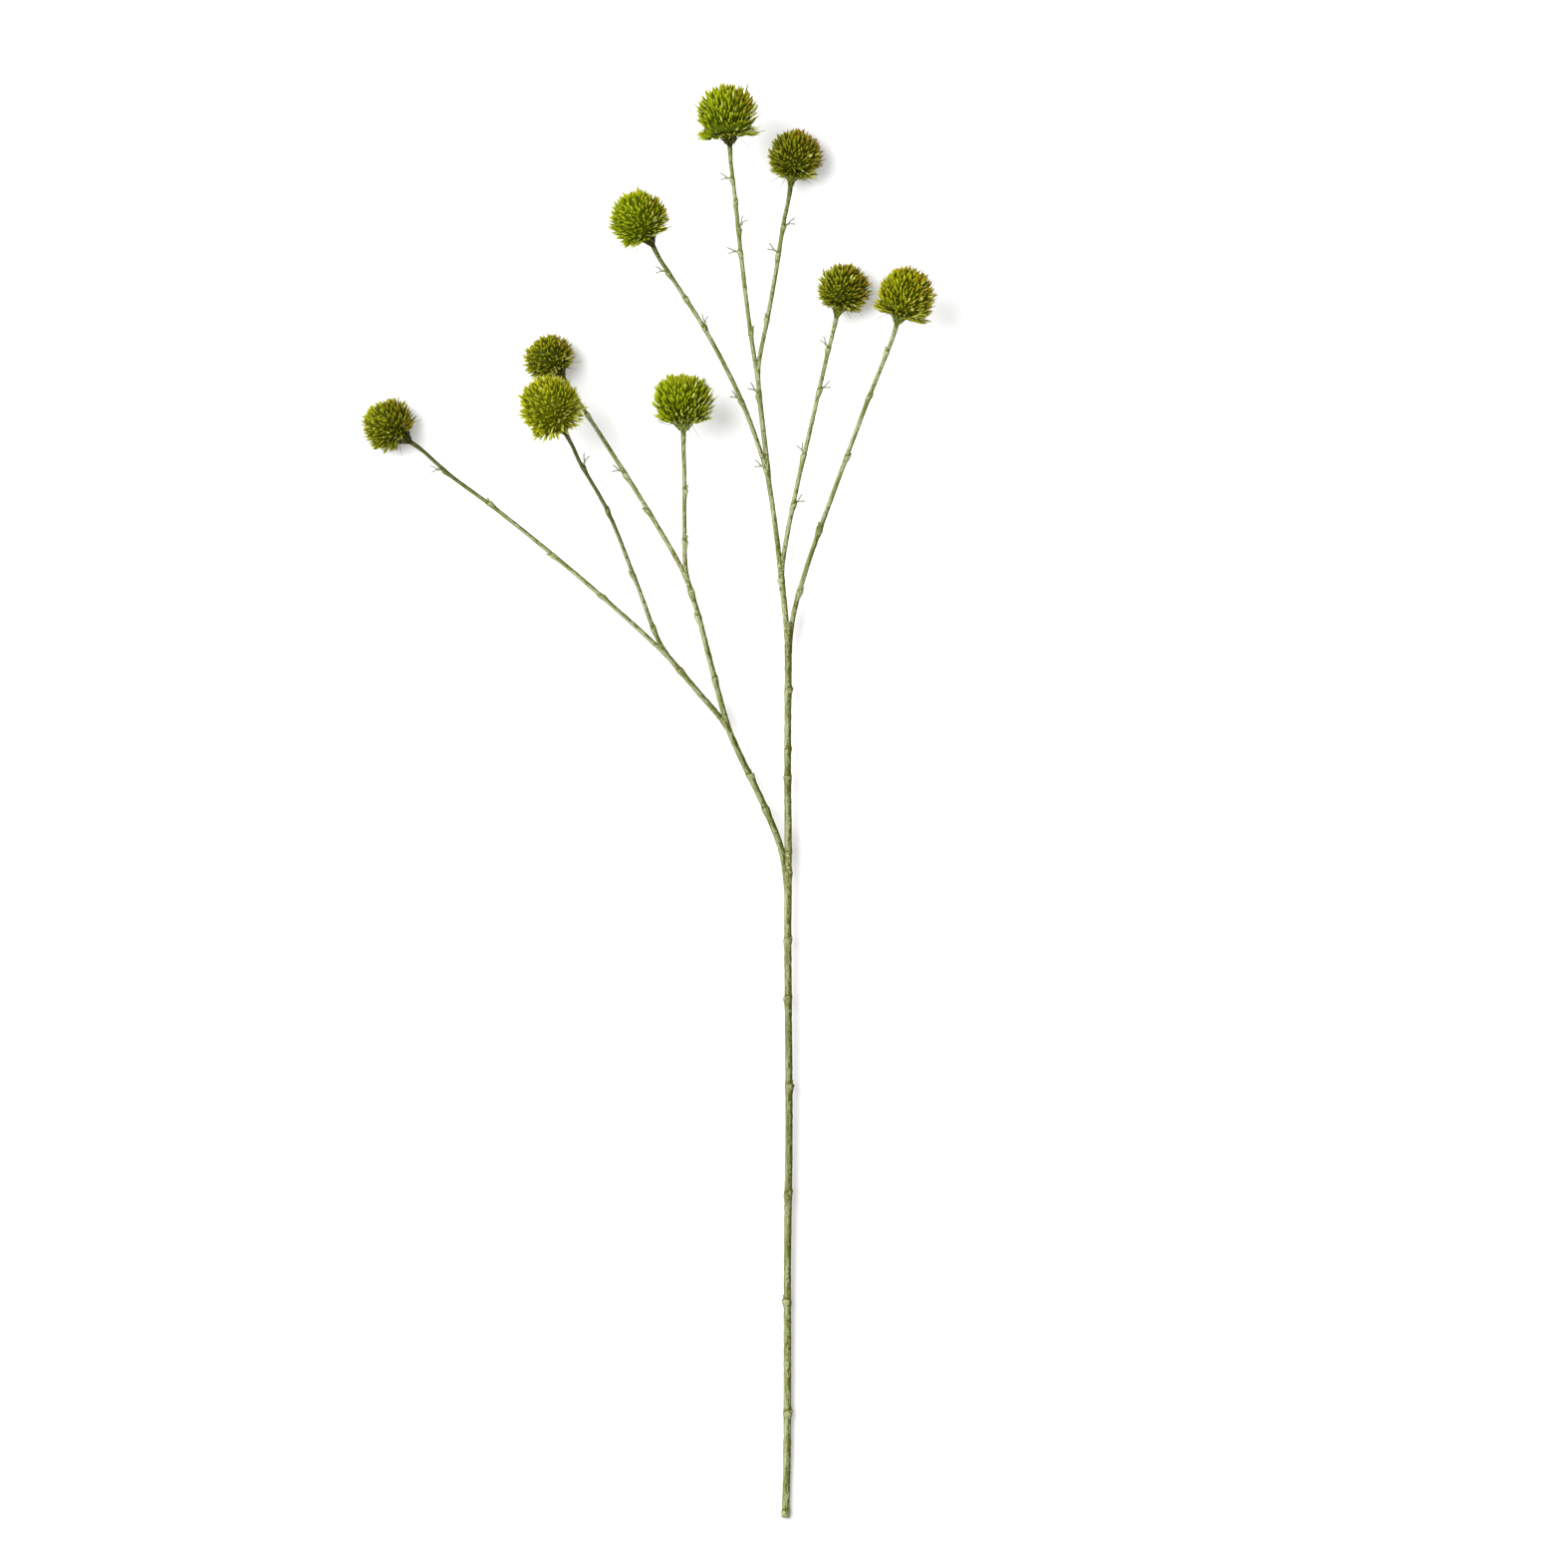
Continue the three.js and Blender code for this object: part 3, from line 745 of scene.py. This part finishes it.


# Each ball is five to eight hundred florets on a core painted dark as the shade between them. A floret
# is a stiff pointed blade, dark at its root, partly its own green and partly painted shade, and
# yellow-green at its tip, and it sweeps out and up from the ball's foot. The lowest rows spread out
# like a skirt, and a few dry grey hairs hang out under them.
CORE_SHARE = 0.8
CORE_SUBDIVISIONS = 4
CORE_UNEVEN = 0.05
CORE_PAINTED_LIGHT = 0.45
CORE_FRAYED = 0.06
HEART_DROP = 0.1
OVER_TABLE_BALL = 0.05

FLORET_GAP = 3.0
FLORET_WIDTH = 1.15
FLORET_LENGTH = 0.38
FLORET_OUTLINE = [(0, 0.5), (0.25, 0.85), (0.55, 1), (0.85, 0.6), (1, 0.05)]
FLORET_THICKNESS = 0.4
FLORET_BENDS = (-0.12, 0, 0.12, 0.28)
FLORETS_OF_EACH_BEND = (2, 4, 3, 1)
ROW_SPACING = 0.87
SPIRAL_TURN = math.pi * (3 - math.sqrt(5))
PLACE_SPREAD = 0.25
TIP_SPREAD = 0.045
WAY_SPREAD = 0.1
TWIST_SPREAD = 0.5
CLUMP_FINENESS = 0.22
CLUMP_DEPTH = 1.5
LOST_WHERE_FRAYED = 0.3
SCORCHED_SHARE = 0.8
BLEACHED_ANYWHERE = 0.03

# Stray florets are longer and thinner than their neighbours, and stand out past them.
STRAY_SHARE = 0.08
STRAY_WHERE_FRAYED = 0.6
STRAY_PAST = 0.14
STRAY_LENGTH = 1.3
STRAY_WIDTH = 0.65

# Angles from the top of a ball: where its waist, its skirt, its top and its lowest rows are
WAIST = {"at": 110, "width": 5}
SKIRT = {"at": 126, "width": 8}
SKIRT_ROWS = (113, 128)
TOP_ROWS = (10, 50)
LOWEST_ROWS = 17
SKIRT_FLORETS = 300
BULGE_SHARPNESS = 5

# Of each ball: how far under its middle its florets spring from, the depth of its waist and the
# spread of its skirt, where its florets end, how short the last of them are, and how flat its top
# is. Its bulges stand at angles from the right as seen from above. Then come its slot and skin, the
# shares of rusty and golden tips, how frayed it is and how many florets are bleached there
BALLS = {
    "top": {
        "sweep": 0.75, "waist": 0.14, "skirt": 0.22, "end": 148, "open": 0.26, "flat": 0,
        "bulges": ((165, 0.05), (225, 0.06), (0, -0.05)),
        "slot": "floret_green", "skin": "green",
        "rust": 0.7, "gold": 0.5, "frayed": 0.8, "bleached": 0.5,
    },
    "top_right": {
        "sweep": 0.5, "waist": 0.04, "skirt": 0.06, "end": 152, "open": 0.1, "flat": 0,
        "bulges": ((0, 0.05),),
        "slot": "floret_olive", "skin": "olive",
        "rust": 0.9, "gold": 0.1, "frayed": 0.3, "bleached": 0.3,
    },
    "upper_left": {
        "sweep": 0.55, "waist": 0.04, "skirt": 0.06, "end": 152, "open": 0.14, "flat": 0,
        "bulges": ((240, 0.09), (0, 0.03), (90, -0.05)),
        "slot": "floret_green", "skin": "green",
        "rust": 0.6, "gold": 0.5, "frayed": 0.4, "bleached": 0.35,
    },
    "right_inner": {
        "sweep": 0.5, "waist": 0.04, "skirt": 0.04, "end": 152, "open": 0.12, "flat": 0,
        "bulges": ((350, 0.1), (240, 0.04)),
        "slot": "floret_olive", "skin": "olive",
        "rust": 0.8, "gold": 0.05, "frayed": 0.3, "bleached": 0.25,
    },
    "right_outer": {
        "sweep": 0.75, "waist": 0.08, "skirt": 0.16, "end": 144, "open": 0.2, "flat": -0.04,
        "bulges": ((75, -0.07), (150, -0.08), (202, 0.03), (315, 0.12)),
        "slot": "floret_gold", "skin": "gold",
        "rust": 0.8, "gold": 0.7, "frayed": 0.4, "bleached": 0.35,
    },
    "left_back": {
        "sweep": 0.45, "waist": 0, "skirt": 0.04, "end": 152, "open": 0.14, "flat": 0.14,
        "bulges": ((80, -0.09), (135, -0.08), (225, 0.14), (0, 0.03)),
        "slot": "floret_olive", "skin": "olive",
        "rust": 0.6, "gold": 0.3, "frayed": 0.3, "bleached": 0.4,
    },
    "left_front": {
        "sweep": 0.4, "waist": 0.06, "skirt": 0.16, "end": 152, "open": 0.1, "flat": -0.05,
        "bulges": ((160, 0.04), (250, 0.02)),
        "slot": "floret_green", "skin": "light",
        "rust": 0.3, "gold": 0.15, "frayed": 1, "bleached": 0.5,
    },
    "middle": {
        "sweep": 0.85, "waist": 0.1, "skirt": 0.16, "end": 136, "open": 0.5, "flat": 0.14,
        "bulges": ((150, 0.05), (325, 0.05)),
        "slot": "floret_green", "skin": "green",
        "rust": 0.5, "gold": 0.2, "frayed": 0.9, "bleached": 0.45,
    },
    "far_left": {
        "sweep": 0.5, "waist": 0.04, "skirt": 0.05, "end": 152, "open": 0.14, "flat": 0,
        "bulges": ((60, 0.12), (250, 0.04)),
        "slot": "floret_olive", "skin": "olive",
        "rust": 0.6, "gold": 0.1, "frayed": 0.2, "bleached": 0.12,
    },
}


def hump(form, angle):
    """Rises from 0 to 1 and falls again, round the angle of a waist or a skirt."""
    return math.exp(-(((angle - form["at"]) / form["width"]) ** 2))


def facing(seen, angle):
    """How much a spot of a ball faces an angle, as seen from above."""
    turn = math.radians(angle)
    return max(0, seen.x * math.cos(turn) + seen.y * math.sin(turn))


def reach_at(spot, seen, looks):
    """How far florets reach at a spot of the ball, against a round ball."""
    angle = math.degrees(math.acos(spot.z))
    waist = looks["waist"] * hump(WAIST, angle)
    skirt = looks["skirt"] * hump(SKIRT, angle)
    lowest = looks["open"] * smoothstep(looks["end"] - LOWEST_ROWS, looks["end"], angle)
    top = looks["flat"] * (1 - smoothstep(*TOP_ROWS, angle))
    bulge = sum(amount * facing(seen, bearing) ** BULGE_SHARPNESS for bearing, amount in looks["bulges"])
    return 1 - waist + skirt - lowest - top + bulge


def sunny(seen):
    """Painted light on a spot of a ball: most on the left, facing the lamp, and a painted rim light round the
    edge.
    """
    edge = smoothstep(0.5, 1, math.hypot(seen.x, seen.y))
    lit = smoothstep(-0.35, 0.6, 0.25 * seen.y - 0.78 * seen.x)
    return max(lit * (0.75 + 0.25 * edge), 0.55 * edge)


def shaded(seen):
    """How much a spot of a ball faces away from the sun, where florets are bleached and stand apart."""
    return smoothstep(0, 0.8, 0.7 * seen.x - 0.7 * seen.y)


def floret_skin(name, root, deep, mid, tip):
    """Floret colour: dark at the root, partly as painted shade, and bright at the tip, each floret a little
    different.
    """
    material, shader, place = finish(name)
    height = place.named("along")
    tint = place.named("tint")
    grain = place.named("grain", "Vector")
    streaks = grain.cloud((2.2, 2.2, 0.35))
    # Painted light lifts the dark roots on the lamp's side and round the rim.
    lightness = height * 1.1 - 0.1 + (streaks - 0.5) * 0.25 + place.named("sunny") * (1 - height) * 0.42
    stops = [(0.0, root), (0.35, deep), (0.68, mid), (1.0, tip)]
    skin = lightness.node("ShaderNodeValToRGB", {"stops": stops}, {"Fac": lightness})
    skin = (tint.step(0.3, 0.0) * 0.6).between(skin, deep)
    gold = place.named("gold") * height.step(0.3, 0.9)
    skin = (gold * 0.75).between(skin, colour(176, 160, 14))
    rust = place.named("rust") * height.step(0.45, 0.95)
    skin = (rust * 0.9).between(skin, colour(148, 86, 24))
    bleached = place.named("bleached") * height.step(0.25, 0.7)
    skin = (bleached * 0.7).between(skin, colour(206, 208, 104))
    skin.into(shader, "Base Color")
    grain.cloud((3.0, 3.0, 0.3)).relief(0.35, 0.0003).into(shader, "Normal")
    (0.5 + streaks * 0.3).into(shader, "Roughness")
    shader.inputs["Specular IOR Level"].default_value = 0.06
    return material


BALL_SKINS = {
    "green": floret_skin(
        "bright_floret_skin",
        root=colour(28, 32, 0),
        deep=colour(80, 95, 0),
        mid=colour(126, 142, 0),
        tip=colour(174, 185, 34),
    ),
    # A darker copy of the green skin: painted shade for the four heads that lie low at the back.
    "olive": floret_skin(
        "olive_painted_shade_floret_skin",
        root=colour(22, 22, 0),
        deep=colour(65, 70, 0),
        mid=colour(109, 116, 0),
        tip=colour(168, 169, 42),
    ),
    "gold": floret_skin(
        "gold_floret_skin",
        root=colour(28, 28, 0),
        deep=colour(82, 88, 0),
        mid=colour(132, 139, 0),
        tip=colour(182, 182, 36),
    ),
    "light": floret_skin(
        "light_floret_skin",
        root=colour(32, 32, 0),
        deep=colour(94, 99, 0),
        mid=colour(142, 148, 0),
        tip=colour(190, 193, 46),
    ),
}

# Dry hairs: how far out and in which directions they stand, and how thick they are
HAIRS = 8
HAIR_FOOT = {"under": 0.6, "out": 0.2}
HAIR_LEAN = (88, 140)
HAIR_LENGTH = (0.65, 0.85)
HAIR_DROOP = (-3, 2)
HAIR_RADIUS = 0.26
HAIR_TAPER = 0.03
HAIR_STEPS = 5
hair_skin, shader, place = finish("dry_hair_skin")
speckled = place.cloud((900, 900, 900)).step(0.2, 0.8)
speckled.between(colour(96, 100, 62), colour(146, 148, 118)).into(shader, "Base Color")
shader.inputs["Roughness"].default_value = 0.7

# The noise that gathers the florets into clumps has a seed of its own.
noise.seed_set(1)
for number, (name, flower) in enumerate(FLOWERS.items()):
    chance = random.Random(100 + number)
    looks = BALLS[name]
    radius = flower["radius"]
    place = flower_frame(flower)
    heart = Vector((0, 0, -HEART_DROP * radius))
    foot = Vector((0, 0, -looks["sweep"] * radius))
    bm, grain_of, along_of, painted_light_of, tint_of, gold_of, rust_of, bleached_of = new_mesh(
        ("along", "sunny", "tint", "gold", "rust", "bleached")
    )

    # The core shows only as the dark between the florets, coloured as painted shade.
    core = bmesh.ops.create_icosphere(bm, subdivisions=CORE_SUBDIVISIONS, radius=CORE_SHARE * radius)
    for vert in core["verts"]:
        spot = vert.co.normalized()
        seen = place.to_3x3() @ spot
        vert[grain_of] = vert.co
        vert[painted_light_of] = CORE_PAINTED_LIGHT * sunny(seen)
        uneven = 1 + CORE_UNEVEN * noise.noise(vert.co * 0.5)
        vert.co *= max(0.72 - 0.25 * spot.z, reach_at(spot, seen, looks)) * uneven
        vert.co *= 1 - CORE_FRAYED * looks["frayed"] * shaded(seen)

    # Four florets differ in how they bend, and the rest are their duplicates.
    patterns = []
    for bend in FLORET_BENDS:
        verts = blade(bm, FLORET_OUTLINE, 1, FLORET_THICKNESS, bend)
        for vert in verts:
            vert[grain_of] = vert.co
            vert[along_of] = vert.co.z
        patterns.append(list({part for vert in verts for part in (vert, *vert.link_edges, *vert.link_faces)}))

    covered = 1 - math.cos(math.radians(looks["end"]))
    count = round(math.tau * radius**2 * covered / (ROW_SPACING * FLORET_GAP**2))
    in_skirt = round(SKIRT_FLORETS * looks["skirt"])
    for i in range(count + in_skirt):
        if i < count:
            polar = math.acos(1 - covered * (i + 0.5) / count)
        else:
            polar = math.radians(chance.uniform(*SKIRT_ROWS))
        polar = abs(polar + chance.gauss(0, PLACE_SPREAD) * FLORET_GAP / radius)
        row_share = math.sin(polar)
        aside = chance.gauss(0, PLACE_SPREAD) * FLORET_GAP / radius / max(0.2, row_share)
        around = i * SPIRAL_TURN + aside
        spot = Vector((row_share * math.cos(around), row_share * math.sin(around), math.cos(polar)))
        seen = place.to_3x3() @ spot
        frayed = looks["frayed"] * shaded(seen)
        if chance.random() < LOST_WHERE_FRAYED * frayed:
            continue
        clump = noise.noise_vector(spot * radius * CLUMP_FINENESS + Vector((0, 0, 50 * number)))
        out = (spot * radius - heart) * reach_at(spot, seen, looks) * chance.gauss(1, TIP_SPREAD)
        tip = heart + out + CLUMP_DEPTH * clump
        way = (tip - foot).normalized()
        way = (way + Vector([chance.gauss(0, WAY_SPREAD) for _ in range(3)])).normalized()
        length = FLORET_LENGTH * radius * chance.uniform(0.9, 1.1)
        side = UP.cross(way).normalized()
        width = FLORET_WIDTH * chance.uniform(0.82, 1.15)
        if i >= count or chance.random() < STRAY_SHARE + STRAY_WHERE_FRAYED * frayed:
            tip += way * chance.uniform(0, STRAY_PAST) * radius
            length *= STRAY_LENGTH
            width *= STRAY_WIDTH
        turn = Matrix((side * width, way.cross(side) * width, way * length)).transposed().to_4x4()
        twist = Matrix.Rotation(chance.gauss(0, TWIST_SPREAD), 4, "Z")
        pattern = chance.choices(patterns, FLORETS_OF_EACH_BEND)[0]
        made = bmesh.ops.duplicate(bm, geom=pattern)["geom"]
        verts = [part for part in made if isinstance(part, bmesh.types.BMVert)]
        bmesh.ops.transform(bm, matrix=Matrix.Translation(tip - way * length) @ turn @ twist, verts=verts)

        # Tips turn rusty on the side that the sun scorched. Florets round the rim are yellower, and
        # those on the shaded side are bleached here and there.
        away = 1 - seen.z
        scorched = smoothstep(0.15, 0.8, 0.7 * seen.x + 0.35 * seen.y + 0.2 * away + chance.gauss(0, 0.25))
        tint = chance.random()
        gold = looks["gold"] * smoothstep(0.3, 0.9, away + chance.gauss(0, 0.25))
        rust = looks["rust"] * scorched if chance.random() < SCORCHED_SHARE else 0
        bleached = 1 if chance.random() < BLEACHED_ANYWHERE + looks["bleached"] * shaded(seen) else 0
        for vert in verts:
            vert[grain_of] = Vector(vert[grain_of]) * 2 + Vector((0, 0, 3 * i))
            vert[painted_light_of] = sunny(seen)
            vert[tint_of] = tint
            vert[gold_of] = gold
            vert[rust_of] = rust
            vert[bleached_of] = bleached
    bmesh.ops.delete(bm, geom=[part for pattern in patterns for part in pattern], context="VERTS")

    floret_faces = len(bm.faces)
    hairs = new_mesh(())[0]
    for i in range(HAIRS):
        around = math.tau * (i + chance.random()) / HAIRS
        lean = math.radians(chance.uniform(*HAIR_LEAN))
        out = Vector((math.cos(around), math.sin(around), 0))
        start = Vector((0, 0, -HAIR_FOOT["under"] * radius)) + out * HAIR_FOOT["out"] * radius
        way = out * math.sin(lean) + UP * math.cos(lean)
        length = radius * chance.uniform(*HAIR_LENGTH)
        end = start + way * length + UP * chance.uniform(*HAIR_DROOP)
        line = Line([start, start + way * length * 0.6, end])
        sections = []
        for j in range(HAIR_STEPS + 1):
            thin = HAIR_RADIUS - HAIR_TAPER * j
            sections.append(section(*line.at(line.length * j / HAIR_STEPS), thin, thin))
        sweep(hairs, sections, 3)
    gather(bm, hairs)
    bm.faces.ensure_lookup_table()
    for face in bm.faces[floret_faces:]:
        face.material_index = 1

    bmesh.ops.transform(bm, matrix=place, verts=bm.verts)
    for vert in bm.verts:
        vert.co.z = max(vert.co.z, OVER_TABLE_BALL)
    skins = [BALL_SKINS[looks["skin"]], hair_skin]
    finish_piece("florets_" + name, bm, "head_" + name, skins)


# The table is a plain white board, lit by one large soft lamp from the upper left and by a white
# room. The camera looks straight down on the whole spray from six metres up.
TABLE_HALF_WIDTH = 6
LAMP_PLACE = Vector((-2.0, 1.0, 3.0))
LAMP_AIM = Vector((0, 0.1, 0))
CAMERA_HEIGHT = 6
VIEW_CENTRE = (0.102735, 0.014907)
VIEW_WIDTH = 1.1805
SENSOR_WIDTH = 36

bm = bmesh.new()
bmesh.ops.create_grid(bm, x_segments=1, y_segments=1, size=TABLE_HALF_WIDTH)
mesh = bpy.data.meshes.new("table")
bm.to_mesh(mesh)
bm.free()
table_paint, shader, place = finish("white_table_paint")
paint = place.cloud((3, 3, 3)).step(0, 1)
paint.between(colour(243, 243, 243), colour(246, 246, 246)).into(shader, "Base Color")
shader.inputs["Roughness"].default_value = 0.9
shader.inputs["Specular IOR Level"].default_value = 0.1
mesh.materials.append(table_paint)
table = bpy.data.objects.new("table", mesh)
bpy.context.scene.collection.objects.link(table)

lamp = bpy.data.lights.new("key_lamp", "AREA")
lamp.shape = "DISK"
lamp.size = 3.2
lamp.energy = 180
key = bpy.data.objects.new("key_lamp", lamp)
bpy.context.scene.collection.objects.link(key)
key.location = LAMP_PLACE
key.rotation_euler = (LAMP_AIM - LAMP_PLACE).to_track_quat("-Z", "Y").to_euler()

world = bpy.data.worlds.new("white_room")
world.use_nodes = True
world.node_tree.nodes["Background"].inputs["Color"].default_value = (1, 1, 1, 1)
world.node_tree.nodes["Background"].inputs["Strength"].default_value = 0.85
bpy.context.scene.world = world
bpy.context.scene.view_settings.view_transform = "Standard"

camera = bpy.data.objects.new("camera", bpy.data.cameras.new("camera"))
bpy.context.scene.collection.objects.link(camera)
camera.location = (*VIEW_CENTRE, CAMERA_HEIGHT)
camera.data.sensor_width = SENSOR_WIDTH
camera.data.lens = SENSOR_WIDTH * CAMERA_HEIGHT / VIEW_WIDTH
bpy.context.scene.camera = camera
